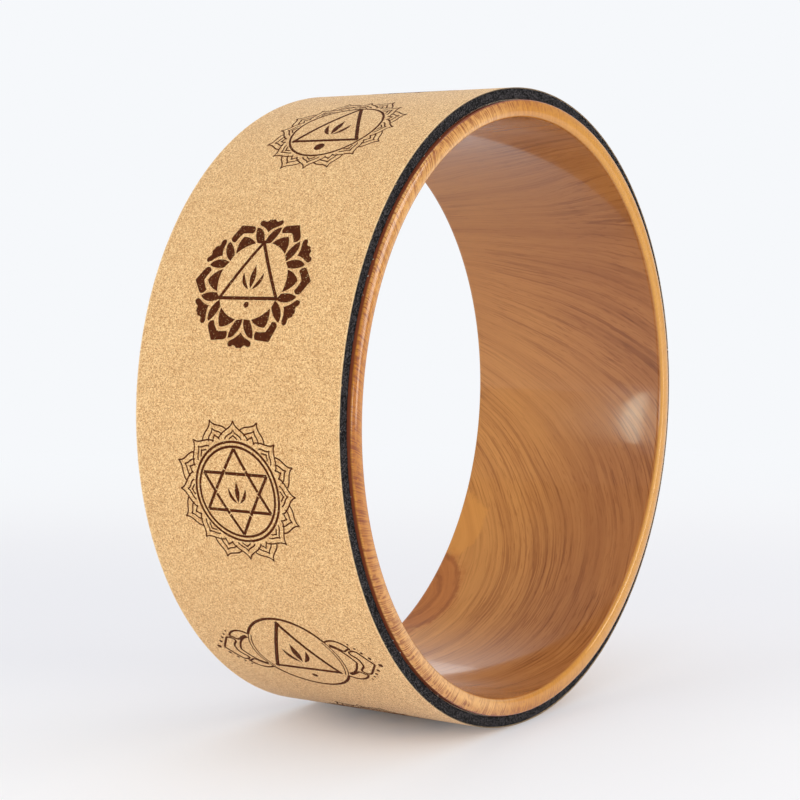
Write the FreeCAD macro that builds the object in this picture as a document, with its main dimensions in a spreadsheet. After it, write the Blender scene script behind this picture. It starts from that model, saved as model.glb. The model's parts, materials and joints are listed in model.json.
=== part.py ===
import FreeCAD, Part
import os
import Sketcher

# Yoga wheel: a plastic ring, a foam strip glued round it and a thin cork strip glued round the foam.
# Frame: origin at the middle of the wheel, the wheel's axis along Y, the wheel standing on its tread, Z up.
# All lengths are in millimetres and all angles in degrees.

doc = FreeCAD.newDocument("yoga_wheel")
sizes = doc.addObject("Spreadsheet::Sheet", "Sizes")

driving_sizes = [
    ("ring_outer_diameter", 317.8, "outside of the plastic ring, under the glue"),
    ("ring_wall", 9.0, "from the bore to the outside of the ring"),
    ("ring_width", 127.0, "from rim face to rim face"),
    ("bore_edge_radius", 2.5, "rounding between a rim face and the bore"),
    ("outer_edge_radius", 1.2, "rounding between a rim face and the outside of the ring"),
    ("lacquer_thickness", 0.1, "printed film and lacquer on the ring, which have no solid of their own"),
    ("pad_glue_thickness", 0.2, "glue sheet between the lacquered ring and the foam"),
    ("foam_thickness", 5.3, "foam strip"),
    ("foam_inset", 3.1, "from a rim face to the edge of foam and cork, which are trimmed together"),
    ("skin_glue_thickness", 0.1, "glue sheet between foam and cork"),
    ("glue_margin", 0.8, "from the foam's edge to the edge of either glue sheet"),
    ("cork_thickness", 0.4, "cork strip"),
    ("seam_gap", 0.4, "gap where the two ends of a wrapped strip meet"),
    ("seam_angle", -8.0, "place of the seam, turned from the X axis about Y"),
]

for row, (alias, value, meaning) in enumerate(driving_sizes, start=1):
    sizes.set(f"A{row}", meaning)
    sizes.set(f"B{row}", str(value))
    sizes.setAlias(f"B{row}", alias)
doc.recompute()

# Radii of the layers, from the ring outwards, each resting on the one below it.
ring_outside = "Sizes.ring_outer_diameter / 2"
ring_inside = f"{ring_outside} - Sizes.ring_wall"
glue_inside = f"{ring_outside} + Sizes.lacquer_thickness"
foam_inside = f"{glue_inside} + Sizes.pad_glue_thickness"
foam_outside = f"{foam_inside} + Sizes.foam_thickness"
cork_inside = f"{foam_outside} + Sizes.skin_glue_thickness"
cork_outside = f"{cork_inside} + Sizes.cork_thickness"

# Half widths of the layers along the axis.
ring_half = "Sizes.ring_width / 2"
foam_half = f"{ring_half} - Sizes.foam_inset"
glue_half = f"{foam_half} - Sizes.glue_margin"

full_turn = 360.0
wheel_axis = FreeCAD.Vector(0, 1, 0)
any_turn = 1.0  # a rotation keeps its axis only while it turns by something
# A rounding takes up at most this share of the ring's wall, so that two of them leave a flat between them.
rounding_share = 0.48


def origin_plane(body, role):
    return next(item for item in body.Origin.OriginFeatures if item.Role == role)


def layer_sketch(body, inside, outside, half_width):
    """A rectangle in the XY plane, X being the radius and Y the axis, even about the X axis."""
    sketch = body.newObject("Sketcher::SketchObject", f"{body.Name}_section")
    sketch.AttachmentSupport = (origin_plane(body, "XY_Plane"), "")
    sketch.MapMode = "FlatFace"
    # A first rectangle, whose sizes the formulas below replace.
    near, far, half = 10.0, 20.0, 5.0
    corners = [(near, -half), (far, -half), (far, half), (near, half)]
    for start, end in zip(corners, corners[1:] + corners[:1]):
        line = Part.LineSegment(FreeCAD.Vector(*start, 0), FreeCAD.Vector(*end, 0))
        sketch.addGeometry(line, False)
    side_count = len(corners)
    for side in range(side_count):
        sketch.addConstraint(Sketcher.Constraint("Coincident", side, 2, (side + 1) % side_count, 1))
    for side in (0, 2):
        sketch.addConstraint(Sketcher.Constraint("Horizontal", side))
    sketch.addConstraint(Sketcher.Constraint("Vertical", 1))
    sketch.addConstraint(Sketcher.Constraint("Symmetric", 3, 1, 3, 2, -1))
    driven = [
        ("inside", Sketcher.Constraint("DistanceX", -1, 1, 0, 1, near), inside),
        ("outside", Sketcher.Constraint("DistanceX", -1, 1, 0, 2, far), outside),
        ("half_width", Sketcher.Constraint("DistanceY", -1, 1, 2, 1, half), half_width),
    ]
    for name, constraint, formula in driven:
        index = sketch.addConstraint(constraint)
        sketch.renameConstraint(index, name)
        sketch.setExpression(f"Constraints.{name}", formula)
    return sketch


def layer_body(label, inside, outside, half_width, turn=None):
    """A layer turned about the Y axis, all the way round or through the angle that the formula turn gives."""
    body = doc.addObject("PartDesign::Body", label)
    body.Label = label
    sketch = layer_sketch(body, inside, outside, half_width)
    layer = body.newObject("PartDesign::Revolution", f"{label}_turned")
    layer.Profile = sketch
    layer.ReferenceAxis = (sketch, ["V_Axis"])
    layer.Angle = full_turn
    if turn:
        layer.setExpression("Angle", turn)
    sketch.Visibility = False
    doc.recompute()
    return body


def round_edges(body, name, is_meant, size):
    """Rounds the circular edges whose radius is_meant picks out, to the size named in the sheet."""
    base = body.Tip
    edges = [
        f"Edge{number}"
        for number, edge in enumerate(base.Shape.Edges, start=1)
        if edge.Curve.TypeId == "Part::GeomCircle" and is_meant(edge.Curve.Radius)
    ]
    fillet = body.newObject("PartDesign::Fillet", name)
    fillet.Base = (base, edges)
    fillet.setExpression("Radius", f"min(Sizes.{size}; Sizes.ring_wall * {rounding_share})")
    doc.recompute()


def wrapped_strip(label, inside, outside, half_width):
    """A strip wrapped once round, its two ends a seam gap apart, the gap centred on the seam angle."""
    gap_angle = f"Sizes.seam_gap / ({inside}) * 180 / pi"
    strip = layer_body(label, inside, outside, half_width, f"{full_turn} - {gap_angle}")
    strip.Placement = FreeCAD.Placement(FreeCAD.Vector(0, 0, 0), FreeCAD.Rotation(wheel_axis, any_turn))
    strip.setExpression("Placement.Rotation.Angle", f"Sizes.seam_angle + {gap_angle} / 2")
    doc.recompute()
    return strip


# Plastic ring, rounded where each rim face meets the bore and the outside.
core_ring = layer_body("core_ring", ring_inside, ring_outside, ring_half)
mid_wall = (sizes.ring_outer_diameter - sizes.ring_wall) / 2
round_edges(core_ring, "bore_rounding", lambda radius: radius < mid_wall, "bore_edge_radius")
round_edges(core_ring, "outer_rounding", lambda radius: radius > mid_wall, "outer_edge_radius")

# Foam and cork strips, and the glue sheets that hold them, a little narrower than the foam.
sub_parts = [
    core_ring,
    wrapped_strip("pad_adhesive", glue_inside, foam_inside, glue_half),
    wrapped_strip("foam_pad", foam_inside, foam_outside, foam_half),
    wrapped_strip("skin_adhesive", foam_outside, cork_inside, glue_half),
    wrapped_strip("cork_skin", cork_inside, cork_outside, foam_half),
]

doc.recompute()
for item in doc.Objects:
    if "Invalid" in item.State or "Error" in item.State:
        raise RuntimeError(f"{item.Name} failed: {item.State}")
for sub_part in sub_parts:
    if sub_part.Shape.isNull() or not sub_part.Shape.isValid():
        raise RuntimeError(f"{sub_part.Label} has no valid shape")

os.makedirs("parts", exist_ok=True)
for sub_part in sub_parts:
    sub_part.Shape.exportStep(f"parts/{sub_part.Label}.step")
    box = sub_part.Shape.optimalBoundingBox()
    print(
        f"{sub_part.Label}: {sub_part.Shape.Volume:.0f} mm3, "
        f"{box.XLength:.2f} x {box.YLength:.2f} x {box.ZLength:.2f} mm"
    )
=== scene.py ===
import json
import math
import bmesh
import bpy
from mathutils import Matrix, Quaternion, Vector
from mathutils.geometry import interpolate_bezier


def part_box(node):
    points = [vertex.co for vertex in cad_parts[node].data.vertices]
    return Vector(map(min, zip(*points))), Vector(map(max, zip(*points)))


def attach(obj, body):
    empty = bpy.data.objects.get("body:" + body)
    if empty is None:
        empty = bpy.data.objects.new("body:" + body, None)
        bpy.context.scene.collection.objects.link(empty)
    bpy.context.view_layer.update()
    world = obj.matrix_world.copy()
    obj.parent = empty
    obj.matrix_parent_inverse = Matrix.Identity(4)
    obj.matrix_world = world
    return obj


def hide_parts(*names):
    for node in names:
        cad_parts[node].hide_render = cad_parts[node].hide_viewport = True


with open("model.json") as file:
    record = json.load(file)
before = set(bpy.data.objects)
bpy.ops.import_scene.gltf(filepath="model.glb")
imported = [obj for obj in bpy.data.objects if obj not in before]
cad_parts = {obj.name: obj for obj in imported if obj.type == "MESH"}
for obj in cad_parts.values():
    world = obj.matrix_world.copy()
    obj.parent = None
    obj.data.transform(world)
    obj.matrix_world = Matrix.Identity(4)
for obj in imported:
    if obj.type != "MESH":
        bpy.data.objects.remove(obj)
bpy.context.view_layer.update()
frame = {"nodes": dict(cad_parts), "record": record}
print("frame loaded:", ", ".join(sorted(frame["nodes"])))

mm = 0.001
fullTurn = 2 * math.pi
quarterTurn = math.pi / 2


def reach(node):
    low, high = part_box(node)
    return max(-low.x, high.x, -low.z, high.z)


def halfWidth(node):
    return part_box(node)[1].y


boreMount = next(mount for mount in frame["record"]["mounts"] if mount["name"] == "ring_bore")
boreRadius = boreMount["dims"]["r_mm"] * mm
treadRadius = reach("cork_skin")


# node helpers, for geometry and shading alike

def feed(tree, node, feeds):
    for key, value in feeds.items():
        if isinstance(value, bpy.types.NodeSocket):
            tree.links.new(value, node.inputs[key])
        else:
            node.inputs[key].default_value = value


def add(tree, kind, feeds=None, **settings):
    node = tree.nodes.new(kind)
    for key, value in settings.items():
        setattr(node, key, value)
    feed(tree, node, feeds or {})
    return node


def calc(tree, operation, *values):
    return add(tree, "ShaderNodeMath", dict(enumerate(values)), operation=operation).outputs[0]


def times(tree, value, *factors):
    for factor in factors:
        value = calc(tree, "MULTIPLY", value, factor)
    return value


def distance(tree, along, across):
    return calc(tree, "SQRT", calc(tree, "MULTIPLY_ADD", along, along, times(tree, across, across)))


def scaled(tree, vector, factor):
    return add(tree, "ShaderNodeVectorMath", {0: vector, "Scale": factor}, operation="SCALE").outputs[0]


def split(tree, vector):
    return add(tree, "ShaderNodeSeparateXYZ", {0: vector}).outputs


def joined(tree, x, y, z):
    return add(tree, "ShaderNodeCombineXYZ", {0: x, 1: y, 2: z}).outputs[0]


def noise(tree, vector, scale, detail=2.0, roughness=0.5):
    feeds = {"Vector": vector, "Scale": scale, "Detail": detail, "Roughness": roughness}
    return add(tree, "ShaderNodeTexNoise", feeds).outputs[0]


# a soft step from low to high; in the dictionaries below, a mask lists these limits in this order
def eased(tree, value, low, high, toLow=0.0, toHigh=1.0):
    feeds = {"Value": value, "From Min": low, "From Max": high, "To Min": toLow, "To Max": toHigh}
    return add(tree, "ShaderNodeMapRange", feeds, interpolation_type="SMOOTHSTEP").outputs[0]


def socketsIn(tree, inputs):
    for label, (kind, value) in inputs.items():
        socket = tree.interface.new_socket(label, in_out="INPUT", socket_type="NodeSocket" + kind)
        if value is not None:
            socket.default_value = value
    return tree.nodes.new("NodeGroupInput").outputs


# geometry node trees

def startTree(name, inputs):
    tree = bpy.data.node_groups.new(name, "GeometryNodeTree")
    tree.interface.new_socket("Geometry", in_out="OUTPUT", socket_type="NodeSocketGeometry")
    return tree, socketsIn(tree, {"Geometry": ("Geometry", None), **inputs, "Material": ("Material", None)})


def endTree(tree, geometry, put):
    real = add(tree, "GeometryNodeRealizeInstances", {"Geometry": geometry})
    painted = add(tree, "GeometryNodeSetMaterial", {"Geometry": real.outputs[0], "Material": put["Material"]})
    feed(tree, tree.nodes.new("NodeGroupOutput"), {0: painted.outputs[0]})
    return tree


def grow(tree, data, values):
    source = bpy.data.objects.new("source", data)
    bpy.context.scene.collection.objects.link(source)
    modifier = source.modifiers.new("grow", "NODES")
    modifier.node_group = tree
    sockets = {item.name: item.identifier for item in tree.interface.items_tree if item.in_out == "INPUT"}
    for label, value in values.items():
        modifier[sockets[label]] = value
    bpy.context.view_layer.update()
    graph = bpy.context.evaluated_depsgraph_get()
    mesh = bpy.data.meshes.new_from_object(source.evaluated_get(graph), depsgraph=graph)
    bpy.data.objects.remove(source)
    return mesh


def makeCurve(lines, unit=1.0):
    data = bpy.data.curves.new("lines", "CURVE")
    data.dimensions = "3D"
    for points, closed in lines:
        spline = data.splines.new("POLY")
        spline.points.add(len(points) - 1)
        for dot, (x, y) in zip(spline.points, points):
            dot.co = (x * unit, y * unit, 0, 1)
        spline.use_cyclic_u = closed
    return data


def showPiece(name, meshes, material, node=None):
    shell = bmesh.new()
    for mesh in meshes:
        shell.from_mesh(mesh)
    bmesh.ops.recalc_face_normals(shell, faces=shell.faces)
    for face in shell.faces:
        face.material_index = 0
    whole = bpy.data.meshes.new(name)
    shell.to_mesh(whole)
    shell.free()
    whole.materials.append(material)
    piece = bpy.data.objects.new(name, whole)
    bpy.context.scene.collection.objects.link(piece)
    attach(piece, "root")
    if node:
        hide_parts(node)
    print("piece", name, len(whole.polygons), "faces")
    return piece


# a section swept round the wheel's axis, with a ragged cut along its two edges where asked
def turnedStripTree():
    tree, put = startTree("turnedStrip", {
        "Path Radius": ("Float", 0.15),
        "Start": ("Float", 0.0),
        "Sweep": ("Float", fullTurn),
        "Segments": ("Int", 480),
        "Whole": ("Bool", True),
        "Edge From": ("Float", 1.0),
        "Ragged": ("Float", 0.0),
        "Grain": ("Float", 0.001),
    })
    circle = add(tree, "GeometryNodeCurvePrimitiveCircle",
                 {"Resolution": put["Segments"], "Radius": put["Path Radius"]})
    arc = add(tree, "GeometryNodeCurveArc",
              {"Resolution": put["Segments"], "Radius": put["Path Radius"],
               "Start Angle": put["Start"], "Sweep Angle": put["Sweep"]})
    path = add(tree, "GeometryNodeSwitch",
               {"Switch": put["Whole"], "False": arc.outputs[0], "True": circle.outputs[0]})
    upright = add(tree, "GeometryNodeSetCurveNormal", {"Curve": path.outputs[0]}, mode="Z_UP")
    swept = add(tree, "GeometryNodeCurveToMesh",
                {"Curve": upright.outputs[0], "Profile Curve": put["Geometry"], "Fill Caps": True})
    turned = add(tree, "GeometryNodeTransform",
                 {"Geometry": swept.outputs[0], "Rotation": (quarterTurn, 0, 0)})
    place = add(tree, "GeometryNodeInputPosition").outputs[0]
    along = split(tree, place)["Y"]
    onEdge = calc(tree, "GREATER_THAN", calc(tree, "ABSOLUTE", along), put["Edge From"])
    fineScale = calc(tree, "DIVIDE", 1.0, put["Grain"])
    fine = noise(tree, place, fineScale)
    grainsPerWave = 5.0
    broad = noise(tree, place, calc(tree, "DIVIDE", fineScale, grainsPerWave))
    push = times(tree, calc(tree, "SUBTRACT", calc(tree, "ADD", fine, broad), 1.0), put["Ragged"], onEdge)
    rough = add(tree, "GeometryNodeSetPosition",
                {"Geometry": turned.outputs[0], "Offset": joined(tree, 0.0, push, 0.0)})
    smooth = add(tree, "GeometryNodeSetShadeSmooth", {"Geometry": rough.outputs[0]})
    return endTree(tree, smooth.outputs[0], put)


strokeMesh = {
    "step": 0.8 * mm,        # a stroke bends once in this length
    "fillSplits": 2,
    "weld": 0.001 * mm,
}


# flat line work, repeated round its centre and laid on the tread
def inkOnTreadTree():
    tree, put = startTree("inkOnTread", {
        "Count": ("Int", 1),
        "Phase": ("Float", 0.0),
        "Line": ("Float", 0.0007),
        "Filled": ("Bool", False),
        "Film": ("Float", 0.0001),
        "Tread Radius": ("Float", 0.165),
        "Angle": ("Float", 0.0),
        "Aside": ("Float", 0.0),
    })
    spots = add(tree, "GeometryNodePoints", {"Count": put["Count"]})
    index = add(tree, "GeometryNodeInputIndex").outputs[0]
    spin = calc(tree, "MULTIPLY_ADD", index, calc(tree, "DIVIDE", fullTurn, put["Count"]), put["Phase"])
    facing = add(tree, "FunctionNodeEulerToRotation", {"Euler": joined(tree, 0.0, 0.0, spin)})
    motif = add(tree, "GeometryNodeGeometryToInstance", {"Geometry": put["Geometry"]})
    copies = add(tree, "GeometryNodeInstanceOnPoints",
                 {"Points": spots.outputs[0], "Instance": motif.outputs[0], "Rotation": facing.outputs[0]})
    flat = add(tree, "GeometryNodeRealizeInstances", {"Geometry": copies.outputs[0]}).outputs[0]

    even = add(tree, "GeometryNodeResampleCurve",
               {"Curve": flat, "Length": strokeMesh["step"]}, mode="LENGTH")
    upright = add(tree, "GeometryNodeSetCurveNormal", {"Curve": even.outputs[0]}, mode="Z_UP")
    nib = add(tree, "GeometryNodeCurvePrimitiveQuadrilateral", {"Width": put["Line"], "Height": put["Film"]})
    stroke = add(tree, "GeometryNodeCurveToMesh",
                 {"Curve": upright.outputs[0], "Profile Curve": nib.outputs[0], "Fill Caps": True})

    filled = add(tree, "GeometryNodeFillCurve", {"Curve": flat})
    fine = add(tree, "GeometryNodeSubdivideMesh",
               {"Mesh": filled.outputs[0], "Level": strokeMesh["fillSplits"]})
    sunk = add(tree, "GeometryNodeSetPosition",
               {"Geometry": fine.outputs[0],
                "Offset": joined(tree, 0.0, 0.0, calc(tree, "MULTIPLY", put["Film"], -0.5))})
    top = add(tree, "GeometryNodeExtrudeMesh",
              {"Mesh": sunk.outputs[0], "Offset Scale": put["Film"], "Individual": False})
    under = add(tree, "GeometryNodeFlipFaces", {"Mesh": sunk.outputs[0]})
    both = add(tree, "GeometryNodeJoinGeometry")
    tree.links.new(top.outputs[0], both.inputs[0])
    tree.links.new(under.outputs[0], both.inputs[0])
    closed = add(tree, "GeometryNodeMergeByDistance",
                 {"Geometry": both.outputs[0], "Distance": strokeMesh["weld"]})

    art = add(tree, "GeometryNodeSwitch",
              {"Switch": put["Filled"], "False": stroke.outputs[0], "True": closed.outputs[0]})
    x, y, z = split(tree, add(tree, "GeometryNodeInputPosition").outputs[0])
    angle = calc(tree, "SUBTRACT", put["Angle"], calc(tree, "DIVIDE", y, put["Tread Radius"]))
    out = calc(tree, "ADD", put["Tread Radius"], z)
    wrapped = joined(tree,
                     calc(tree, "MULTIPLY", out, calc(tree, "COSINE", angle)),
                     calc(tree, "SUBTRACT", calc(tree, "MULTIPLY", x, -1.0), put["Aside"]),
                     calc(tree, "MULTIPLY", out, calc(tree, "SINE", angle)))
    laid = add(tree, "GeometryNodeSetPosition", {"Geometry": art.outputs[0], "Position": wrapped})
    return endTree(tree, laid.outputs[0], put)


lumpForm = {
    "dentScale": 1.3,
    "dent": 0.8,             # the deepest dent, in radii
    "lean": 0.5,
    "stretch": (0.8, 2.2),   # length along the edge, in radii
}


# small lumps along the two edges of a layer
def edgeLumpsTree():
    tree, put = startTree("edgeLumps", {
        "Count": ("Int", 80),
        "Low Radius": ("Float", 0.16),
        "High Radius": ("Float", 0.16),
        "Edge": ("Float", 0.06),
        "Small": ("Float", 0.0002),
        "Large": ("Float", 0.0005),
        "Flatness": ("Float", 1.0),
        "Seed": ("Int", 1),
    })

    # every draw shifts the seed by its own number
    def draw(low, high, shift):
        seed = calc(tree, "ADD", put["Seed"], shift)
        feeds = {"Min": low, "Max": high, "Seed": seed}
        return add(tree, "FunctionNodeRandomValue", feeds, data_type="FLOAT").outputs["Value"]

    angle = draw(0.0, fullTurn, 0)
    radius = draw(put["Low Radius"], put["High Radius"], 11)
    side = calc(tree, "SIGN", draw(-1.0, 1.0, 23))
    size = draw(put["Small"], put["Large"], 37)
    where = joined(tree,
                   calc(tree, "MULTIPLY", radius, calc(tree, "COSINE", angle)),
                   calc(tree, "MULTIPLY", put["Edge"], side),
                   calc(tree, "MULTIPLY", radius, calc(tree, "SINE", angle)))
    spots = add(tree, "GeometryNodePoints", {"Count": put["Count"], "Position": where})
    lump = add(tree, "GeometryNodeMeshIcoSphere", {"Radius": 1.0, "Subdivisions": 1})
    bumpy = noise(tree, add(tree, "GeometryNodeInputPosition").outputs[0], lumpForm["dentScale"])
    normal = add(tree, "GeometryNodeInputNormal").outputs[0]
    dent = calc(tree, "MULTIPLY_ADD", bumpy, 2 * lumpForm["dent"], -lumpForm["dent"])
    dented = add(tree, "GeometryNodeSetPosition",
                 {"Geometry": lump.outputs["Mesh"], "Offset": scaled(tree, normal, dent)})
    lean = draw(-lumpForm["lean"], lumpForm["lean"], 53)
    spin = joined(tree, 0.0, calc(tree, "MULTIPLY", angle, -1.0), lean)
    facing = add(tree, "FunctionNodeEulerToRotation", {"Euler": spin})
    length = calc(tree, "MULTIPLY", size, draw(*lumpForm["stretch"], 71))
    spread = joined(tree, calc(tree, "MULTIPLY", size, put["Flatness"]), size, length)
    lumps = add(tree, "GeometryNodeInstanceOnPoints",
                {"Points": spots.outputs[0], "Instance": dented.outputs[0],
                 "Rotation": facing.outputs[0], "Scale": spread})
    real = add(tree, "GeometryNodeRealizeInstances", {"Geometry": lumps.outputs[0]})
    smooth = add(tree, "GeometryNodeSetShadeSmooth", {"Geometry": real.outputs[0]})
    return endTree(tree, smooth.outputs[0], put)


turnedStrip = turnedStripTree()
inkOnTread = inkOnTreadTree()
edgeLumps = edgeLumpsTree()
print("geometry trees built")


# shading

# screen values from 0 to 255, as linear light
def tone(red, green, blue):
    def linear(value):
        share = value / 255
        return share / 12.92 if share <= 0.04045 else ((share + 0.055) / 1.055) ** 2.4
    return (linear(red), linear(green), linear(blue), 1.0)


# a finish holds what is the same all over the surface
def startMaterial(name, finish):
    material = bpy.data.materials.new(name)
    material.use_nodes = True
    tree = material.node_tree
    skin = tree.nodes["Principled BSDF"]
    feed(tree, skin, finish)
    spot = add(tree, "ShaderNodeTexCoord").outputs["Object"]
    return material, tree, skin, spot


def ramp(tree, value, look):
    node = add(tree, "ShaderNodeValToRGB", {0: value})
    marks = node.color_ramp.elements
    while len(marks) < len(look["ramp"]):
        marks.new(0.5)
    for mark, (name, place) in zip(marks, look["ramp"].items()):
        mark.position = place
        mark.color = look[name]
    return node.outputs[0]


def blend(tree, share, under, over, mode="MIX"):
    node = add(tree, "ShaderNodeMix", data_type="RGBA", blend_type=mode)
    colours = [number for number, socket in enumerate(node.inputs) if socket.type == "RGBA"]
    feed(tree, node, {"Factor": share, colours[0]: under, colours[1]: over})
    return next(socket for socket in node.outputs if socket.type == "RGBA")


def relief(tree, skin, height, depth, strength):
    bump = add(tree, "ShaderNodeBump", {"Height": height, "Distance": depth, "Strength": strength})
    feed(tree, skin, {"Normal": bump.outputs[0]})


def startGroup(name, inputs, outputs):
    tree = bpy.data.node_groups.new(name, "ShaderNodeTree")
    for label, kind in outputs.items():
        tree.interface.new_socket(label, in_out="OUTPUT", socket_type="NodeSocket" + kind)
    return tree, socketsIn(tree, inputs)


def placed(tree, group, feeds):
    return add(tree, "ShaderNodeGroup", feeds, node_tree=group).outputs


# pressed granules: a random shade for each, and how far a spot is from the granule's middle
def granuleGroup():
    tree, put = startGroup("granules", {"Vector": ("Vector", None), "Size": ("Float", 0.001)},
                           {"Shade": "Float", "Middle": "Float", "Fleck": "Float"})
    bends = 0.7    # for each granule
    wander = 0.9   # how far they shift it, in granules
    density = calc(tree, "DIVIDE", 1.0, put["Size"])
    bent = add(tree, "ShaderNodeTexNoise", {"Vector": put["Vector"], "Scale": times(tree, density, bends)})
    shift = scaled(tree, bent.outputs["Color"], times(tree, put["Size"], wander))
    moved = add(tree, "ShaderNodeVectorMath", {0: put["Vector"], 1: shift}).outputs[0]
    cells = add(tree, "ShaderNodeTexVoronoi", {"Vector": moved, "Scale": density})
    shade = add(tree, "ShaderNodeSeparateColor", {0: cells.outputs["Color"]}).outputs
    leave = tree.nodes.new("NodeGroupOutput")
    feed(tree, leave, {"Shade": shade[0], "Middle": cells.outputs["Distance"], "Fleck": shade[1]})
    return tree


granules = granuleGroup()

ring = {
    "boreRounding": 2.5 * mm,
    "outerRounding": 1.2 * mm,
    "crown": math.radians(13.0),         # how far the rim face turns away at its two edges
    "arcSteps": 10,
    "hold": 0.3 * mm,                    # points this close to a rounding keep the flats flat
    "segments": 480,
}
# a figure lists scales along and across the grain, detail and roughness; a noise lists scale and detail
woodLook = {
    "finish": {"Specular IOR Level": 0.35, "Coat Weight": 0.4, "Coat Roughness": 0.05},
    "glossScale": 45.0,
    "gloss": (0.3, 0.7, 0.13, 0.18),
    "peel": (350.0, 1.0),
    "peelRelief": (0.02 * mm, 0.2),
    "heartAngle": math.radians(-56.0),   # the year rings close round this place on the bore
    "heartPlace": 72 * mm,               # along the axis, just past the far rim
    "heartReach": (18 * mm, 45 * mm),    # between these the rings give way to lines that lie down
    "squeeze": 0.83,
    "bendRadius": 159 * mm,              # the lines lie down over a quarter of this circle
    "bendEnd": 290 * mm,
    "sways": ((11.0, 10 * mm), (30.0, 1.6 * mm), (90.0, 0.5 * mm), (260.0, 0.4 * mm)),   # scale and depth
    "gold": tone(216, 151, 78),
    "goldDrift": (9.0, 2.0),
    "goldDriftDepth": 50 * mm,
    "goldAcross": (-15 * mm, 72 * mm),
    "goldRound": (0.26, 0.08, 0.35, 1.0),
    "brown": tone(180, 118, 65),
    "ragged": (130.0, 3.0, 0.6),         # of the edges round the heart, with a roughness
    "heartRagged": 16 * mm,
    "heartMask": (44 * mm, 38 * mm, 0.0, 0.9),
    "heartShade": (0.82, 0.64, 0.55, 1.0),
    "archStep": 5.5 * mm,                # half the way from one dark arch of the heart to the next
    "archRagged": 5 * mm,
    "archMask": (2.4 * mm, 0.4 * mm, 0.0, 0.6),
    "archEnd": (46 * mm, 42 * mm),
    "tongue": tone(232, 160, 72),        # a plain golden tongue above the heart
    "tonguePlace": 58 * mm,
    "tongueArc": 55 * mm,
    "tongueSize": (15 * mm, 20 * mm),
    "tongueRagged": 0.7,
    "tongueMask": (1.50, 1.20),
    "tongueShare": 0.5,
    "topMask": (0.20, 0.28, 0.0, 0.6),
    "topShade": (0.84, 0.83, 0.68, 1.0),
    "figureRound": (0.13, 0.24, 1.0, 0.8),
    "figureAcross": (20 * mm, -30 * mm, 1.0, 1.4),
    "figureOnTongue": (0.0, 1.0, 1.0, 0.25),
    "patches": (16.0, 2.0),
    "patchMask": (0.36, 0.62, 0.45, 1.0),
    "bands": (4.0, 98.0, 2.0, 0.5),
    "bandMask": (0.58, 0.38, 0.0, 0.7),
    "bandShade": (0.84, 0.78, 0.74, 1.0),
    "wave": (5.0, 300.0, 1.0, 0.5),
    "waveMask": (0.05, 0.012, 0.0, 0.7),
    "breaks": (22.0, 120.0, 2.0, 0.5),
    "breakMask": (0.36, 0.6, 0.25, 1.0),
    "lineShade": (0.64, 0.53, 0.45, 1.0),
    "hairShade": (0.76, 0.67, 0.60, 1.0),
    "fineFigures": (                     # soft lines, hairs and pores
        ((7.0, 290.0, 3.0, 0.65), (0.50, 0.34, 0.0, 0.32), "lineShade"),
        ((50.0, 900.0, 2.0, 0.65), (0.54, 0.38, 0.0, 0.36), "hairShade"),
        ((110.0, 1300.0, 1.0, 0.5), (0.42, 0.33, 0.0, 0.45), "lineShade"),
    ),
    "rimStart": 0.9,                     # the rim's colour starts and is full at these shares of the rounding
    "rimFull": 0.35,
    "rimRight": tone(207, 148, 63),
    "rimLeft": tone(197, 127, 38),
    "leftMask": (0.12, -0.10),
    "rimPale": tone(229, 177, 108),      # on the left, towards the wheel's top and foot
    "paleHeight": (0.02, 0.12),
    "paleLeft": (0.0, -0.05, 0.0, 0.8),
    "dash": tone(138, 66, 30),
    "dashSlant": -0.45,                  # the dashes on the rim lean downwards on the left
    "dashSway": (60.0, 2.0),
    "dashSwayDepth": 2.5 * mm,
    "dashes": (60.0, 1900.0, 2.0, 0.6),
    "dashMask": (0.42, 0.60),
    "dashBreaks": (400.0, 1.0),
    "dashBreakMask": (0.28, 0.52),
    "dashMargin": 1.0 * mm,
    "dashOutward": (0.5, 1.0),           # share beside the bore and beside the foam
    "dashLeft": (0.0, 1.0, 0.22, 0.85),
    "sideDepth": (5 * mm, 2 * mm),
    "sideFace": (0.8 * mm, 0.4 * mm, 0.0, 0.8),
    "sideShade": (0.76, 0.64, 0.52, 1.0),
    "baseCoat": tone(132, 67, 45),       # bare of print on the outside, beside the foam
    "coatEdge": (0.10, 0.15, 1.7 * mm, 0.5 * mm),
    "coatScale": 160.0,
    "coatRagged": 0.9 * mm,
    "coatMask": (-0.2 * mm, 0.25 * mm, 0.0, 0.95),
}


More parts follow.
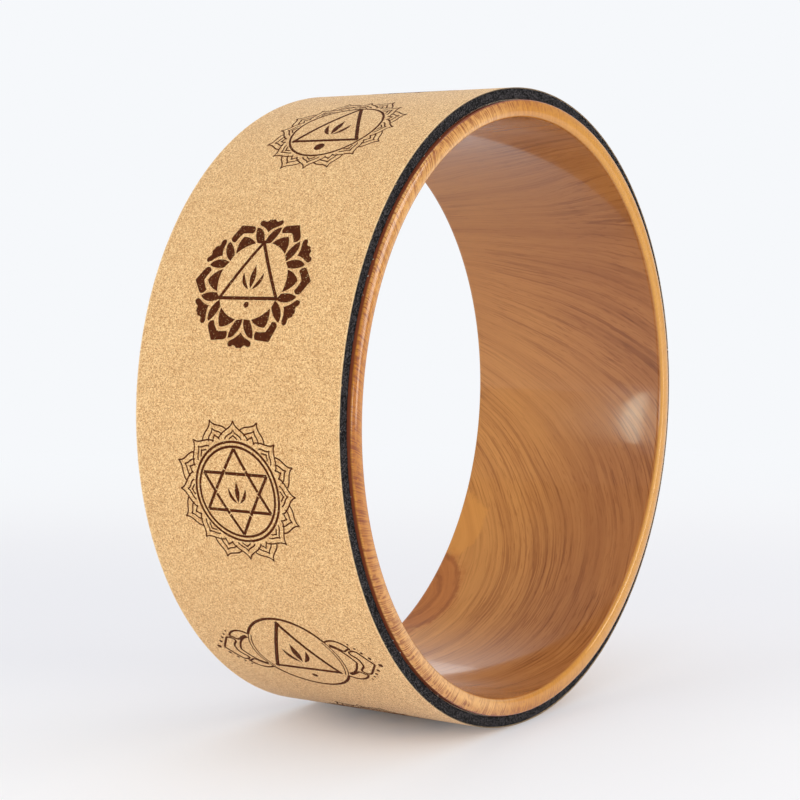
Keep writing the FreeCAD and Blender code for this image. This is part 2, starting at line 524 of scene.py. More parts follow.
def woodPrintMaterial():
    look = woodLook
    material, tree, skin, spot = startMaterial("woodPrint", look["finish"])
    x, y, z = split(tree, spot)
    radius = distance(tree, x, z)
    height = calc(tree, "ABSOLUTE", z)
    away = calc(tree, "ABSOLUTE", y)
    wall = calc(tree, "SUBTRACT", radius, boreRadius)
    # place across the print: along the bore, then out over the rounded rim
    across = times(tree, calc(tree, "ADD", away, wall), calc(tree, "SIGN", y))
    # distance round the bore from the rings' heart, the same both ways
    angle = calc(tree, "SUBTRACT", calc(tree, "ARCTAN2", z, x), look["heartAngle"])
    angle = calc(tree, "WRAP", angle, math.pi, -math.pi)
    arc = times(tree, calc(tree, "ABSOLUTE", angle), boreRadius)

    def oval(place, placeSize, arcPlace, arcSize):
        aside = calc(tree, "DIVIDE", calc(tree, "SUBTRACT", across, place), placeSize)
        along = calc(tree, "DIVIDE", calc(tree, "SUBTRACT", arc, arcPlace), arcSize)
        return distance(tree, aside, along)

    # rings close to the heart, and lines that lie down more and more away from it
    rings = oval(look["heartPlace"], 1.0, 0.0, 1 / look["squeeze"])
    bent = calc(tree, "MINIMUM", arc, look["bendEnd"])
    turn = calc(tree, "DIVIDE", bent, look["bendRadius"])
    lying = times(tree, calc(tree, "ADD", across, look["bendRadius"]), calc(tree, "COSINE", turn))
    rest = times(tree, calc(tree, "SUBTRACT", arc, bent), calc(tree, "SINE", turn))
    lying = calc(tree, "ADD", calc(tree, "SUBTRACT", look["bendRadius"], lying), rest)
    closing = calc(tree, "SUBTRACT", rings, look["heartPlace"])
    share = eased(tree, rings, *look["heartReach"])
    sway = calc(tree, "MULTIPLY_ADD", calc(tree, "SUBTRACT", lying, closing), share, closing)
    for scale, depth in look["sways"]:
        sway = calc(tree, "MULTIPLY_ADD", noise(tree, spot, scale, detail=1.0), depth, sway)

    def streaks(figure, lines=sway):
        along, acrossScale, detail, roughness = figure
        feeds = {"Vector": scaled(tree, spot, along), "W": times(tree, lines, acrossScale),
                 "Scale": 1.0, "Detail": detail, "Roughness": roughness}
        return add(tree, "ShaderNodeTexNoise", feeds, noise_dimensions="4D").outputs[0]

    def darker(colour, mask, shade):
        return blend(tree, mask, colour, look[shade], "MULTIPLY")

    # golden towards the far side and round the heart, browner towards the near side and the top
    drift = calc(tree, "MULTIPLY_ADD", noise(tree, spot, *look["goldDrift"]), look["goldDriftDepth"], across)
    golden = times(tree, eased(tree, drift, *look["goldAcross"]), eased(tree, arc, *look["goldRound"]))
    colour = blend(tree, golden, look["brown"], look["gold"])
    ragged = noise(tree, spot, *look["ragged"])
    heartEdge = calc(tree, "MULTIPLY_ADD", ragged, look["heartRagged"], rings)
    colour = darker(colour, eased(tree, heartEdge, *look["heartMask"]), "heartShade")
    arches = calc(tree, "MULTIPLY_ADD", ragged, look["archRagged"], rings)
    arches = eased(tree, calc(tree, "PINGPONG", arches, look["archStep"]), *look["archMask"])
    arches = times(tree, arches, eased(tree, heartEdge, *look["archEnd"]))
    colour = darker(colour, arches, "lineShade")
    tongueWide, tongueLong = look["tongueSize"]
    tongueEdge = oval(look["tonguePlace"], tongueWide, look["tongueArc"], tongueLong)
    tongueEdge = calc(tree, "MULTIPLY_ADD", ragged, look["tongueRagged"], tongueEdge)
    tongue = eased(tree, tongueEdge, *look["tongueMask"])
    colour = blend(tree, times(tree, tongue, look["tongueShare"]), colour, look["tongue"])
    colour = darker(colour, eased(tree, arc, *look["topMask"]), "topShade")
    # the figure is strongest round the heart and towards the near side, and comes and goes in patches
    strength = times(tree,
                     eased(tree, arc, *look["figureRound"]),
                     eased(tree, noise(tree, spot, *look["patches"]), *look["patchMask"]),
                     eased(tree, tongue, *look["figureOnTongue"]),
                     eased(tree, across, *look["figureAcross"]))
    colour = darker(colour, eased(tree, streaks(look["bands"]), *look["bandMask"]), "bandShade")
    # thin lines run where a slow wave passes its middle
    wave = calc(tree, "ABSOLUTE", calc(tree, "SUBTRACT", streaks(look["wave"]), 0.5))
    broken = eased(tree, streaks(look["breaks"]), *look["breakMask"])
    lines = times(tree, eased(tree, wave, *look["waveMask"]), broken)
    colour = darker(colour, times(tree, lines, strength), "lineShade")
    for figure, mask, shade in look["fineFigures"]:
        colour = darker(colour, times(tree, eased(tree, streaks(figure), *mask), strength), shade)
    # the rounded rim is paler, with short dashes that are dense on the left
    fromFace = calc(tree, "SUBTRACT", halfWidth("core_ring"), away)
    rounding = ring["boreRounding"]
    rim = eased(tree, fromFace, rounding * look["rimStart"], rounding * look["rimFull"])
    slanted = calc(tree, "MULTIPLY_ADD", wall, look["dashSlant"], arc)
    slanted = calc(tree, "MULTIPLY_ADD", noise(tree, spot, *look["dashSway"]), look["dashSwayDepth"], slanted)
    leftness = eased(tree, x, *look["leftMask"])
    dashes = times(tree,
                   eased(tree, streaks(look["dashes"], slanted), *look["dashMask"]),
                   eased(tree, noise(tree, spot, *look["dashBreaks"]), *look["dashBreakMask"]),
                   eased(tree, radius, boreRadius + look["dashMargin"],
                         reach("core_ring") - look["dashMargin"], *look["dashOutward"]),
                   eased(tree, leftness, *look["dashLeft"]))
    rimColour = blend(tree, leftness, look["rimRight"], look["rimLeft"])
    ends = times(tree, eased(tree, height, *look["paleHeight"]), eased(tree, x, *look["paleLeft"]))
    rimColour = blend(tree, ends, rimColour, look["rimPale"])
    rimColour = blend(tree, dashes, rimColour, look["dash"])
    deep = calc(tree, "SUBTRACT", reach("core_ring"), radius)
    side = times(tree, eased(tree, deep, *look["sideDepth"]), eased(tree, fromFace, *look["sideFace"]))
    rimColour = darker(rimColour, times(tree, side, leftness), "sideShade")
    colour = blend(tree, rim, colour, rimColour)
    # darker beside the foam over an uneven band, which reaches further over the rounding at the wheel's top
    # and bottom
    edge = calc(tree, "ADD", eased(tree, height, *look["coatEdge"]), look["coatRagged"] / 2)
    uneven = calc(tree, "MULTIPLY_ADD", noise(tree, spot, look["coatScale"]), look["coatRagged"], fromFace)
    outside = calc(tree, "GREATER_THAN", radius, (boreRadius + reach("core_ring")) / 2)
    coat = times(tree, eased(tree, calc(tree, "SUBTRACT", uneven, edge), *look["coatMask"]), outside)
    colour = blend(tree, coat, colour, look["baseCoat"])
    gloss = eased(tree, noise(tree, spot, look["glossScale"]), *look["gloss"])
    feed(tree, skin, {"Base Color": colour, "Roughness": gloss})
    relief(tree, skin, noise(tree, spot, *look["peel"]), *look["peelRelief"])
    return material


corkLook = {
    "finish": {"Specular IOR Level": 0.3, "Sheen Weight": 0.18, "Sheen Roughness": 0.45},
    "grain": 0.33 * mm,
    "coarse": 2.6,                       # a coarse granule is this many fine ones wide
    "coarseShare": 0.18,
    "light": tone(255, 222, 164),
    "body": tone(230, 183, 125),
    "dark": tone(176, 122, 68),
    "ramp": {"dark": 0.15, "body": 0.5, "light": 0.85},
    "cloud": (55.0, 3.0),
    "cloudMask": (0.35, 0.7, 0.0, 0.08),
    "fleck": tone(150, 98, 56),
    "fleckFrom": 0.97,                   # one coarse granule in thirty or so is a fleck
    "fleckMask": (0.5, 0.15, 0.0, 0.7),
    "cutEdge": tone(58, 46, 38),         # dark on the cut side faces, like the black foam beside them
    "cutFacing": (0.45, 0.8, 0.0, 0.85),
    "edgeHighlight": tone(255, 228, 180),     # a painted highlight along both edges of the tread
    "edgeHighlightBand": (1.2 * mm, 0.4 * mm, 0.0, 0.3),
    "roughness": (0.0, 1.0, 0.78, 0.95),
    "dip": -0.6,
    "relief": (0.12 * mm, 0.5),
}


# pressed cork, for the tread and where ink is missing: the colour, and the fine granule that a spot lies in
def corkGroup():
    look = corkLook
    tree, put = startGroup("corkGrain", {"Vector": ("Vector", None), "Grain": ("Float", 0.001)},
                           {"Colour": "Color", "Shade": "Float", "Middle": "Float", "Fleck": "Float"})
    spot = put["Vector"]
    fine = placed(tree, granules, {"Vector": spot, "Size": put["Grain"]})
    coarse = placed(tree, granules, {"Vector": spot, "Size": times(tree, put["Grain"], look["coarse"])})
    shade = calc(tree, "MULTIPLY_ADD", fine["Shade"], 1 - look["coarseShare"],
                 times(tree, coarse["Shade"], look["coarseShare"]))
    cloud = eased(tree, noise(tree, spot, *look["cloud"]), *look["cloudMask"])
    colour = blend(tree, cloud, ramp(tree, shade, look), look["dark"])
    fleck = times(tree, calc(tree, "GREATER_THAN", coarse["Fleck"], look["fleckFrom"]),
                  eased(tree, coarse["Middle"], *look["fleckMask"]))
    leave = tree.nodes.new("NodeGroupOutput")
    feed(tree, leave, {label: fine[label] for label in ("Shade", "Middle", "Fleck")})
    feed(tree, leave, {"Colour": blend(tree, fleck, colour, look["fleck"])})
    return tree


corkGrain = corkGroup()


def corkMaterial():
    look = corkLook
    material, tree, skin, spot = startMaterial("pressedCork", look["finish"])
    cork = placed(tree, corkGrain, {"Vector": spot, "Grain": look["grain"]})
    # a painted highlight along both edges of the tread
    fromEdge = calc(tree, "SUBTRACT", halfWidth("cork_skin"), calc(tree, "ABSOLUTE", split(tree, spot)["Y"]))
    colour = blend(tree, eased(tree, fromEdge, *look["edgeHighlightBand"]), cork["Colour"], look["edgeHighlight"])
    # the cut side faces are made dark
    sideways = split(tree, add(tree, "ShaderNodeTexCoord").outputs["Normal"])["Y"]
    cut = eased(tree, calc(tree, "ABSOLUTE", sideways), *look["cutFacing"])
    colour = blend(tree, cut, colour, look["cutEdge"])
    feed(tree, skin, {"Base Color": colour, "Roughness": eased(tree, cork["Shade"], *look["roughness"])})
    dip = calc(tree, "MULTIPLY_ADD", cork["Middle"], look["dip"], cork["Shade"])
    relief(tree, skin, dip, *look["relief"])
    return material


foamLook = {
    "finish": {"Specular IOR Level": 0.2},
    "cell": 0.5 * mm,
    "pit": tone(3, 3, 4),
    "body": tone(15, 14, 15),
    "wall": tone(76, 73, 75),
    "ramp": {"pit": 0.1, "body": 0.45, "wall": 0.95},
    "roughness": (0.1, 0.7, 0.85, 1.0),
    "relief": (0.25 * mm, 0.7),
}


def foamMaterial():
    look = foamLook
    material, tree, skin, spot = startMaterial("cutFoam", look["finish"])
    cells = placed(tree, granules, {"Vector": spot, "Size": look["cell"]})
    roughness = eased(tree, cells["Middle"], *look["roughness"])
    feed(tree, skin, {"Base Color": ramp(tree, cells["Shade"], look), "Roughness": roughness})
    relief(tree, skin, cells["Middle"], *look["relief"])
    return material


inkLook = {
    "finish": {"Specular IOR Level": 0.1},
    "film": 0.12 * mm,                   # half of it lies in the cork
    "body": tone(70, 26, 4),
    "worn": tone(94, 48, 20),
    "ramp": {"body": 0.35, "worn": 0.75},
    "wear": (900.0, 2.0),
    "bareFrom": 0.97,                    # one granule in thirty or so is half bare
    "bareShare": 0.5,
    "roughness": (0.3, 0.7, 0.65, 0.85),
    "relief": (0.08 * mm, 0.4),
}


def inkMaterial():
    look = inkLook
    material, tree, skin, spot = startMaterial("printedInk", look["finish"])
    cork = placed(tree, corkGrain, {"Vector": spot, "Grain": corkLook["grain"]})
    wear = noise(tree, spot, *look["wear"])
    bare = times(tree, calc(tree, "GREATER_THAN", cork["Fleck"], look["bareFrom"]), look["bareShare"])
    colour = blend(tree, bare, ramp(tree, wear, look), cork["Colour"])
    feed(tree, skin, {"Base Color": colour, "Roughness": eased(tree, wear, *look["roughness"])})
    relief(tree, skin, cork["Shade"], *look["relief"])
    return material


glueLook = {
    "finish": {},
    "clear": tone(226, 216, 196),
    "cloudy": tone(196, 182, 152),
    "ramp": {"cloudy": 0.35, "clear": 0.65},
    "cloud": (700.0, 2.0),
    "roughness": (0.3, 0.7, 0.28, 0.5),
    "relief": (0.05 * mm, 0.5),
}


def glueMaterial():
    look = glueLook
    material, tree, skin, spot = startMaterial("driedGlue", look["finish"])
    cloud = noise(tree, spot, *look["cloud"])
    roughness = eased(tree, cloud, *look["roughness"])
    feed(tree, skin, {"Base Color": ramp(tree, cloud, look), "Roughness": roughness})
    relief(tree, skin, cloud, *look["relief"])
    return material


woodPrint = woodPrintMaterial()
pressedCork = corkMaterial()
cutFoam = foamMaterial()
printedInk = inkMaterial()
driedGlue = glueMaterial()
print("materials built")


# a wrapped layer's section with rounded corners, as radius and place along the axis
def roundedSection(below, node, layer):
    inside, outside, half = reach(below), reach(node), halfWidth(node)
    size, steps, sideSteps = layer["edgeRounding"], layer["arcSteps"], layer["sideSteps"]
    corners = [
        (inside + size, -half + size, 2),
        (outside - size, -half + size, 3),
        (outside - size, half - size, 0),
        (inside + size, half - size, 1),
    ]
    arcs = []
    for x, y, quarter in corners:
        turns = [(quarter + step / steps) * quarterTurn for step in range(steps + 1)]
        arcs.append([Vector((x + size * math.cos(turn), y + size * math.sin(turn))) for turn in turns])
    points = []
    for number, arc in enumerate(arcs):
        points += arc
        start, end = arc[-1], arcs[(number + 1) % 4][0]
        along = (end - start).normalized() * layer["hold"]
        points.append(start + along)
        if number % 2 == 0:  # the next run is a side face
            points += [start.lerp(end, step / sideSteps) for step in range(1, sideSteps)]
        points.append(end - along)
    return [(point.x, point.y) for point in points]


# the ring's section, whose two ends are slightly crowned between their rounded edges
def crownedSection():
    inside, outside, half = boreRadius, reach("core_ring"), halfWidth("core_ring")
    insideRound, outsideRound = ring["boreRounding"], ring["outerRounding"]
    crown, steps, hold = ring["crown"], ring["arcSteps"], ring["hold"]
    slack = 1 - math.sin(crown)
    start, end = inside + insideRound * slack, outside - outsideRound * slack
    crownRadius = (end - start) / (2 * math.sin(crown))
    drop = crownRadius * (1 - math.cos(crown))
    down = 3 * quarterTurn
    parts = [
        (inside + insideRound, drop + insideRound * math.cos(crown), insideRound, math.pi, down - crown),
        ((start + end) / 2, crownRadius, crownRadius, down - crown, down + crown),
        (outside - outsideRound, drop + outsideRound * math.cos(crown), outsideRound, down + crown, fullTurn),
    ]
    nearEnd = []
    for number, (x, rise, size, first, last) in enumerate(parts):
        for step in range(1 if number else 0, steps + 1):
            turn = first + (last - first) * step / steps
            nearEnd.append((x + size * math.cos(turn), rise - half + size * math.sin(turn)))
    (bore, boreEdge), (skin, skinEdge) = nearEnd[0], nearEnd[-1]
    nearEnd = [(bore, boreEdge + hold)] + nearEnd + [(skin, skinEdge + hold)]
    return nearEnd + [(x, -y) for x, y in reversed(nearEnd)]


def layerMesh(section, pathRadius, segments, material, ends=None, edgeFrom=1.0, ragged=0.0, grain=1.0 * mm):
    start, sweep = ends or (0.0, fullTurn)
    outline = makeCurve([([(x - pathRadius, y) for x, y in section], True)])
    return grow(turnedStrip, outline, {
        "Path Radius": pathRadius,
        "Start": start,
        "Sweep": sweep,
        "Segments": segments,
        "Whole": ends is None,
        "Edge From": edgeFrom,
        "Ragged": ragged,
        "Grain": grain,
        "Material": material,
    })


# where the two ends of the foam and cork strips meet, up from the X axis
seam = {"angle": math.radians(8.0), "gap": 0.4 * mm}


# a strip wrapped once round the layer below it
def wrapMesh(below, node, layer, material, grain):
    gapAngle = seam["gap"] / reach(below)
    ends = (seam["angle"] + gapAngle / 2, fullTurn - gapAngle)
    return layerMesh(roundedSection(below, node, layer), reach(node), layer["segments"], material, ends,
                     halfWidth(node) - layer["raggedBand"], layer["ragged"], grain)


def lumpMesh(lumps, lowRadius, highRadius, edge, material):
    return grow(edgeLumps, makeCurve([]), {
        "Count": lumps["count"],
        "Low Radius": lowRadius,
        "High Radius": highRadius,
        "Edge": edge,
        "Small": lumps["small"],
        "Large": lumps["large"],
        "Flatness": lumps["flatness"],
        "Seed": lumps["seed"],
        "Material": material,
    })


ringMesh = layerMesh(crownedSection(), boreRadius, ring["segments"], woodPrint)
showPiece("wood_print_ring", [ringMesh], woodPrint, "core_ring")

foam = {
    "edgeRounding": 0.5 * mm,
    "arcSteps": 3,
    "hold": 0.1 * mm,
    "sideSteps": 12,
    "segments": 1600,
    "ragged": 0.35 * mm,
    "raggedBand": 1.0 * mm,
    "fill": 1.0,
}
foamMesh = wrapMesh("pad_adhesive", "foam_pad", foam, cutFoam, foamLook["cell"])
foamPiece = showPiece("foam_wrap", [foamMesh], cutFoam, "foam_pad")

cork = {
    "edgeRounding": 0.12 * mm,
    "arcSteps": 2,
    "hold": 0.04 * mm,
    "sideSteps": 1,
    "segments": 1600,
    "ragged": 0.2 * mm,
    "raggedBand": 0.4 * mm,
}
corkMesh = wrapMesh("skin_adhesive", "cork_skin", cork, pressedCork, corkLook["grain"])
showPiece("cork_wrap", [corkMesh], pressedCork, "cork_skin")

crumbs = {"count": 90, "small": 0.12 * mm, "large": 0.38 * mm, "flatness": 0.7, "seed": 5, "sunk": 0.3 * mm}
crumbMesh = lumpMesh(crumbs, reach("skin_adhesive") - crumbs["sunk"], treadRadius - crumbs["sunk"],
                     halfWidth("cork_skin"), pressedCork)
showPiece("cork_crumbs", [crumbMesh], pressedCork)

beads = {"count": 80, "small": 0.10 * mm, "large": 0.30 * mm, "flatness": 0.6, "seed": 3, "proud": 0.05 * mm}
beadMesh = lumpMesh(beads, reach("core_ring") + beads["proud"], reach("pad_adhesive") + beads["proud"],
                    halfWidth("foam_pad") + beads["proud"], driedGlue)
showPiece("glue_beads", [beadMesh], driedGlue)
for name in ("pad_adhesive", "skin_adhesive"):
    frame["nodes"][name].data.materials.clear()
    frame["nodes"][name].data.materials.append(driedGlue)


# printed ornaments: flat line work in millimetres, right is towards the near rim, up towards the wheel's top

def circleLine(radius, middle=(0.0, 0.0), steps=72):
    points = []
    for step in range(steps):
        angle = fullTurn * step / steps
        points.append((middle[0] + radius * math.cos(angle), middle[1] + radius * math.sin(angle)))
    return points, True


def arcLine(radius, first, last, steps=24):
    turns = [math.radians(first + (last - first) * step / steps) for step in range(steps + 1)]
    return [(radius * math.cos(turn), radius * math.sin(turn)) for turn in turns], False


def bend(*knots, steps=9):
    spots = interpolate_bezier(*[Vector((x, y, 0.0)) for x, y in knots], steps)
    return [(spot.x, spot.y) for spot in spots]


def mirrored(points):
    return [(-x, y) for x, y in points]


# an edge from the foot to the tip and its mirror image, as two open lines or as one closed outline
def pairOfLines(*knots):
    edge = bend(*knots)
    return [(edge, False), (mirrored(edge), False)]


def outline(edge):
    tiny = 0.01   # a point on the middle line isn't doubled
    return edge + [point for point in reversed(mirrored(edge)) if abs(point[0]) > tiny], True


def triangleBars(apex, base, half, line):
    corners = [Vector((0.0, apex)), Vector((half, base)), Vector((-half, base))]
    bars = []
    for start, end in zip(corners, corners[1:] + corners[:1]):
        over = (end - start).normalized() * line * 0.5
        bars.append(([tuple(start - over), tuple(end + over)], False))
    return bars


# a side of the star, broken where another side crosses it
def starBars(apex, base, half, gap):
    bars = []
    for turnOver in (1, -1):
        corners = [Vector((0.0, apex)), Vector((half, base)), Vector((-half, base))]
        for start, end in zip(corners, corners[1:] + corners[:1]):
            side = end - start
            share = gap / side.length
            for low, high in ((0.0, 1 / 3 - share), (1 / 3 + share, 2 / 3 - share), (2 / 3 + share, 1.0)):
                first, last = start + side * low, start + side * high
                bars.append(([(first.x, first.y * turnOver), (last.x, last.y * turnOver)], False))
    return bars


def strokes(lines, width, count=1, phase=0.0):
    return {"lines": lines, "width": width, "count": count, "phase": phase, "filled": False}


def fills(lines, count=1, phase=0.0):
    return {"lines": lines, "width": 1.0, "count": count, "phase": phase, "filled": True}


def lotusLines(count, line=0.72):
    narrow = 8 / count

    def petal(*knots):
        return pairOfLines(*[(x * narrow, y) for x, y in knots])

    front = petal((8.8, 25.2), (6.7, 30.0), (1.0, 29.8), (0.0, 34.2))
    front += petal((5.0, 25.4), (3.8, 28.0), (0.7, 27.4), (0.0, 29.9))
    front += petal((2.4, 25.3), (1.8, 26.6), (0.4, 26.2), (0.0, 27.5))
    behind = petal((7.6, 29.4), (5.8, 33.0), (1.0, 32.4), (0.0, 36.7))
    behind += petal((4.6, 27.6), (3.6, 30.6), (0.7, 30.0), (0.0, 32.6))
    behind += petal((2.2, 26.4), (1.7, 28.2), (0.4, 27.9), (0.0, 29.5))
    return [strokes(front, line, count), strokes(behind, line, count, 180 / count)]


# a plain closed bud for the middle of an ornament
def budFills(place, size):
    def moved(edge):
        return [(x * size, y * size + place) for x, y in edge]

    drop = bend((0.0, 1.0), (0.1, 0.5), (0.45, 0.2), (0.0, -0.75))
    leaf = bend((0.12, -0.8), (0.75, -0.6), (0.95, -0.1), (0.85, 0.42))
    leaf += bend((0.85, 0.42), (0.6, -0.05), (0.42, -0.35), (0.12, -0.8))[1:-1]
    return [fills([outline(moved(drop)), (moved(leaf), True), (mirrored(moved(leaf)), True)])]


def boldLotusFills():
    chevron = [(0.0, 34.3)] + bend((6.0, 30.2), (7.6, 29.0), (6.6, 26.4), (4.8, 26.1), steps=7)
    chevron += bend((4.8, 26.1), (3.2, 27.6), (1.4, 28.2), (0.0, 28.9), steps=5)[1:]
    middle = bend((0.0, 26.6), (2.4, 25.6), (5.0, 22.4), (5.6, 19.2))
    middle += bend((5.6, 19.2), (3.6, 19.8), (1.8, 20.1), (0.0, 20.1), steps=4)[1:]
    leaf = bend((7.8, 28.2), (10.9, 26.8), (11.9, 21.0), (9.3, 16.8))
    leaf += bend((9.3, 16.8), (8.4, 17.6), (7.4, 18.4), (6.5, 18.9), steps=4)[1:]
    leaf += bend((6.5, 18.9), (5.9, 22.0), (6.2, 25.4), (7.8, 28.2))[1:-1]
    bud = bend((0.0, 25.6), (1.2, 27.4), (3.0, 28.4), (5.4, 29.3), steps=6)
    bud += bend((5.4, 29.3), (7.9, 30.2), (7.0, 33.2), (4.7, 32.4), steps=7)[1:]
    bud += bend((4.7, 32.4), (3.8, 31.7), (3.0, 31.4), (2.3, 32.2), steps=4)[1:]
    bud += bend((2.3, 32.2), (1.6, 33.3), (0.7, 33.4), (0.0, 32.8), steps=5)[1:]
    petals = [outline(chevron), outline(middle), (leaf, True), (mirrored(leaf), True)]
    return [fills(petals, 6, 90.0), fills([outline(bud)], 6, 0.0)]


def wingStrokes(line):
    wing = pairOfLines((13.6, 23.4), (17.2, 28.0), (15.6, 34.6), (10.4, 37.4))
    wing += pairOfLines((11.0, 25.4), (10.4, 30.0), (6.0, 33.4), (0.0, 36.0))
    wing += pairOfLines((12.2, 25.8), (11.4, 28.6), (9.8, 30.6), (8.4, 32.4))
    wing += pairOfLines((8.4, 32.4), (8.2, 34.6), (10.8, 35.0), (10.4, 37.4))
    spade = [(0.0, 46.8)] + bend((8.4, 40.6), (10.2, 38.8), (8.8, 34.6), (6.6, 35.4), steps=8)
    spade += bend((6.6, 35.4), (4.6, 36.4), (4.0, 39.4), (0.0, 39.0), steps=8)[1:]
    spadeLine = outline(spade)[0]
    wing.append((spadeLine + spadeLine[:1], False))
    thin = [arcLine(radius, first, first + 62) for radius in (27.1, 25.5) for first in (-31, 149)]
    bold = [arcLine(27.2, first, first + 118, 48) for first in (31, 211)]
    return [strokes(wing, line, 2, 90.0), strokes(thin, 0.6), strokes(bold, 1.5)]


def wingDots():
    dots = [circleLine(1.3, (0.0, 50.2), 14)]
    for x, y, size in ((4.8, 46.2, 1.0), (8.4, 43.2, 0.85), (11.4, 40.5, 0.72), (14.1, 37.8, 0.6)):
        dots += [circleLine(size, (x, y), 12), circleLine(size, (-x, y), 12)]
    return [fills(dots, 2, 90.0)]


def ringStrokes(*rings):
    return [strokes([circleLine(radius)], width) for radius, width in rings]


def triangleStrokes(apex, base, half, width):
    return [strokes(triangleBars(apex, base, half, width), width)]


def dotFill(place, size):
    return [fills([circleLine(size, (0.0, place), 16)])]


squareBars = strokes([([(-15.5, 14.9), (15.5, 14.9)], False)], 1.2, 4)

# each with its angle up from the X axis, millimetres towards the near rim, turn in degrees, and layers
ornaments = {
    "crown_lotus": (86.4, 0.0, 0.0, lotusLines(12) + ringStrokes((24.5, 1.2), (22.1, 1.2))
                    + budFills(0.0, 15.0)),
    "throat_lotus": (120.7, 0.4, 0.0, lotusLines(8) + ringStrokes((24.3, 1.2))
                     + triangleStrokes(24.0, -11.4, 19.0, 1.9) + budFills(0.5, 8.0) + dotFill(-17.0, 2.8)),
    "bold_lotus": (155.6, -0.4, 0.0, boldLotusFills() + triangleStrokes(20.0, -9.0, 16.8, 1.7)
                   + budFills(1.0, 7.0) + dotFill(-12.2, 1.5)),
    "star_lotus": (190.7, -0.8, 0.0, lotusLines(8) + ringStrokes((24.3, 1.2), (22.0, 1.2))
                   + [strokes(starBars(21.0, -9.1, 18.6, 0.25), 1.5)] + budFills(-0.5, 6.0)),
    "winged_lotus": (224.45, 0.0, 1.8, wingStrokes(1.2) + wingDots()
                     + triangleStrokes(24.2, -11.6, 19.6, 2.0) + budFills(1.0, 8.5) + dotFill(-18.0, 1.6)),
    "square_lotus": (257.0, 0.5, 0.0, lotusLines(8) + ringStrokes((24.3, 1.2), (22.0, 1.2)) + [squareBars]
                     + budFills(0.0, 8.0)),
    "sun_lotus": (293.4, 0.0, 0.0, lotusLines(10) + ringStrokes((24.3, 1.2))
                  + triangleStrokes(-23.6, 11.0, 19.0, 1.9) + budFills(0.0, 8.0)),
}
for name, (angle, aside, turn, layers) in ornaments.items():
    meshes = []
    for layer in layers:
        meshes.append(grow(inkOnTread, makeCurve(layer["lines"], mm), {
            "Count": layer["count"],
            "Phase": math.radians(layer["phase"] + turn),
            "Line": layer["width"] * mm,
            "Filled": layer["filled"],
            "Film": inkLook["film"],
            "Tread Radius": treadRadius,
            "Angle": math.radians(angle),
            "Aside": aside * mm,
            "Material": printedInk,
        }))
    showPiece(name, meshes, printedInk)


# floor, light and camera

stage = {
    "finish": {"Roughness": 0.9, "Specular IOR Level": 0.1},
    "floorDrop": 0.1 * mm,
    "floorSize": 4.0,
    "floorSides": 96,
    "floor": tone(249, 249, 252),
    "dimFloor": tone(239, 240, 245),     # painted shade: behind the wheel the floor is a little darker
    "dimStart": (-0.10, 0.15),
    "dimEnd": (0.9, 0.3),
    "surround": tone(246, 248, 251),
    "shadowLiftMask": (0.0, 0.12, 0.0, 0.40),  # seen directly, the floor round the foot glows with some of the pale surround: painted light that lifts the wheel's shadow
    "farMask": (0.18, 1.3),              # and further away it fades into it
    "ambient": 0.80,
    "roomBehind": 0.35,                  # how bright the room behind the camera looks in the gloss
    "roomTurn": (0.45, 0.9),             # and where it gives way to the pale surround
}


def seenDirectly(tree):
    path = add(tree, "ShaderNodeLightPath").outputs
    seen = calc(tree, "MAXIMUM", path["Is Camera Ray"], path["Is Glossy Ray"])
    return calc(tree, "MAXIMUM", seen, path["Is Transmission Ray"])


def makeFloor():
    shell = bmesh.new()
    bmesh.ops.create_circle(shell, cap_ends=True, segments=stage["floorSides"], radius=stage["floorSize"])
    for vert in shell.verts:
        vert.co.z = -treadRadius - stage["floorDrop"]
    mesh = bpy.data.meshes.new("floor")
    shell.to_mesh(mesh)
    shell.free()
    material, tree, skin, spot = startMaterial("paleFloor", stage["finish"])
    x, y, _ = split(tree, spot)
    heading = view["heading"]
    # painted shade: the floor is a little darker behind the wheel, in its colour and in its glow
    deep = calc(tree, "MULTIPLY_ADD", x, math.cos(heading), times(tree, y, math.sin(heading)))
    dim = times(tree, eased(tree, deep, *stage["dimStart"]), eased(tree, deep, *stage["dimEnd"]))
    feed(tree, skin, {"Base Color": blend(tree, dim, stage["floor"], stage["dimFloor"])})
    away = distance(tree, x, y)
    # seen directly, the floor glows with the pale surround far away, and round the foot as painted light that
    # lifts the wheel's shadow
    fade = calc(tree, "MAXIMUM", eased(tree, away, *stage["shadowLiftMask"]), eased(tree, away, *stage["farMask"]))
    fade = times(tree, fade, seenDirectly(tree))
    glow = add(tree, "ShaderNodeEmission", {"Color": blend(tree, dim, stage["surround"], stage["dimFloor"])})
    mixed = add(tree, "ShaderNodeMixShader", {0: fade, 1: skin.outputs[0], 2: glow.outputs[0]})
    tree.links.new(mixed.outputs[0], tree.nodes["Material Output"].inputs[0])
    mesh.materials.append(material)
    floor = bpy.data.objects.new("floor", mesh)
    bpy.context.scene.collection.objects.link(floor)


def makeWorld():
    world = bpy.data.worlds.new("paleRoom")
    world.use_nodes = True
    tree = world.node_tree
    facing = add(tree, "ShaderNodeTexCoord").outputs["Generated"]
    backdrop = (math.cos(view["heading"]), math.sin(view["heading"]), 0.0)
    toward = add(tree, "ShaderNodeVectorMath", {0: facing, 1: backdrop}, operation="DOT_PRODUCT")
    room = eased(tree, toward.outputs["Value"], *stage["roomTurn"], stage["roomBehind"], 1.0)
    room = calc(tree, "MAXIMUM", room, add(tree, "ShaderNodeLightPath").outputs["Is Camera Ray"])
    pale = add(tree, "ShaderNodeBackground", {"Color": stage["surround"], "Strength": room})
    soft = add(tree, "ShaderNodeBackground", {"Color": (1, 1, 1, 1), "Strength": stage["ambient"]})
    mixed = add(tree, "ShaderNodeMixShader", {0: seenDirectly(tree), 1: soft.outputs[0], 2: pale.outputs[0]})
    tree.links.new(mixed.outputs[0], tree.nodes["World Output"].inputs[0])
    bpy.context.scene.world = world


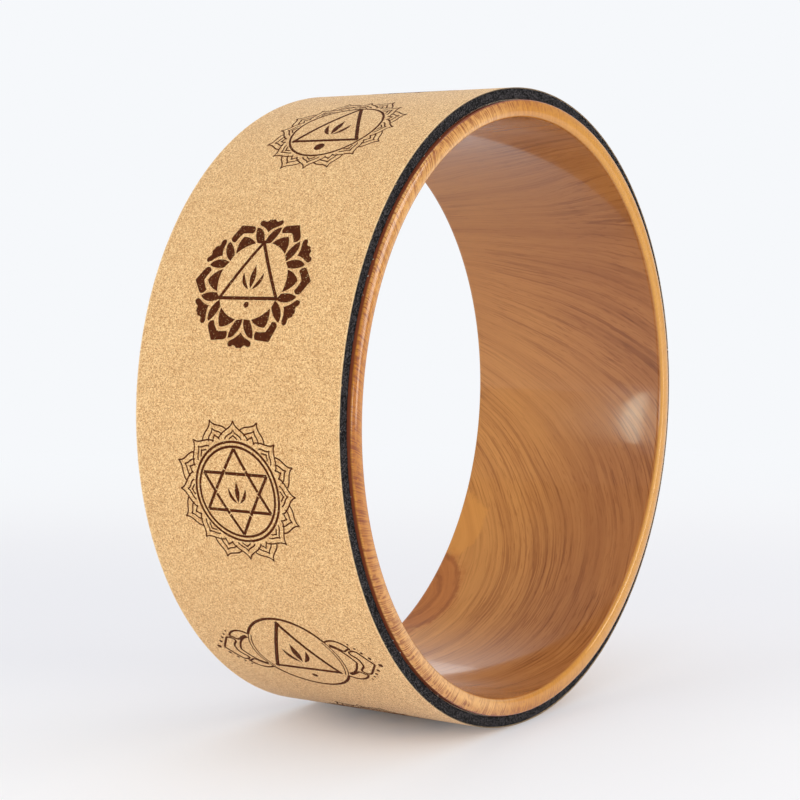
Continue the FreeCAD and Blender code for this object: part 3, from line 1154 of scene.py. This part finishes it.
lamps = {
    "windowLeft": {"place": (-1.7, -0.9, 0.08), "aim": (0, 0, -0.05), "size": (2.0, 0.48), "watts": 7.2},
    "windowFront": {"place": (0.25, -1.6, 0.42), "aim": (0.05, -0.06, 0), "size": (1.7, 1.0), "watts": 5.0},
    "stripRight": {"place": (1.02, -1.42, 0.20), "aim": (0.05, -0.06, -0.05), "size": (0.42, 0.9),
                   "watts": 4.7, "colour": (1.0, 0.87, 0.72)},
    "ceiling": {"place": (0, 0, 2.4), "aim": (0, 0, 0), "size": (2.4, 2.4), "watts": 7.5},
    "panelBehind": {"place": (1.67, 1.19, 0.78), "aim": (0.03, 0.01, -0.147), "size": (1.2, 0.4),
                    "watts": 0.9},
    "glowBehind": {"place": (-1.2, 0.8, 0.35), "aim": (0.147, 0.005, -0.03), "size": (1.2, 1.0),
                   "watts": 0.5},
    "haloBehind": {"place": (-1.29, 0.70, 0.19), "aim": (0.149, -0.0435, -0.0158), "size": (0.09, 0.8),
                   "watts": 0.14},
    "spotBehind": {"place": (-1.263, 0.692, 0.165), "aim": (0.149, -0.0435, -0.0158), "size": (0.03, 0.52),
                   "watts": 0.46, "colour": (0.96, 1.0, 0.80), "roll": math.radians(4.5)},
}


def makeLamp(name, lamp):
    light = bpy.data.lights.new(name, "AREA")
    light.shape = "ELLIPSE"
    light.size, light.size_y = lamp["size"]
    light.energy = lamp["watts"]
    light.color = lamp.get("colour", (1.0, 1.0, 1.0))
    holder = bpy.data.objects.new(name, light)
    holder.location = lamp["place"]
    toward = Vector(lamp["aim"]) - Vector(lamp["place"])
    facing = toward.to_track_quat("-Z", "Y") @ Quaternion((0, 0, 1), lamp.get("roll", 0.0))
    holder.rotation_euler = facing.to_euler()
    holder.visible_camera = False
    bpy.context.scene.collection.objects.link(holder)


view = {
    "place": (-0.85816, -0.56746, 0.08489),
    "heading": math.radians(32.138),     # from the X axis towards +Y
    "tilt": math.radians(-4.191),
    "lens": 86.60,
    "sensor": 36.0,
    "shift": (-0.09375, -0.018125),      # the photo was cropped beside its middle
    "nearest": 0.05,
}


def makeCamera():
    eye = bpy.data.cameras.new("photoView")
    eye.lens = view["lens"]
    eye.sensor_width = view["sensor"]
    eye.shift_x, eye.shift_y = view["shift"]
    eye.clip_start = view["nearest"]
    holder = bpy.data.objects.new("photoView", eye)
    holder.location = view["place"]
    heading, tilt = view["heading"], view["tilt"]
    level = math.cos(tilt)
    forward = Vector((math.cos(heading) * level, math.sin(heading) * level, math.sin(tilt)))
    holder.rotation_euler = forward.to_track_quat("-Z", "Y").to_euler()
    bpy.context.scene.collection.objects.link(holder)
    bpy.context.scene.camera = holder


makeFloor()
makeWorld()
for name, lamp in lamps.items():
    makeLamp(name, lamp)
makeCamera()
bpy.context.scene.view_settings.view_transform = "Standard"
print("stage, light and camera set")
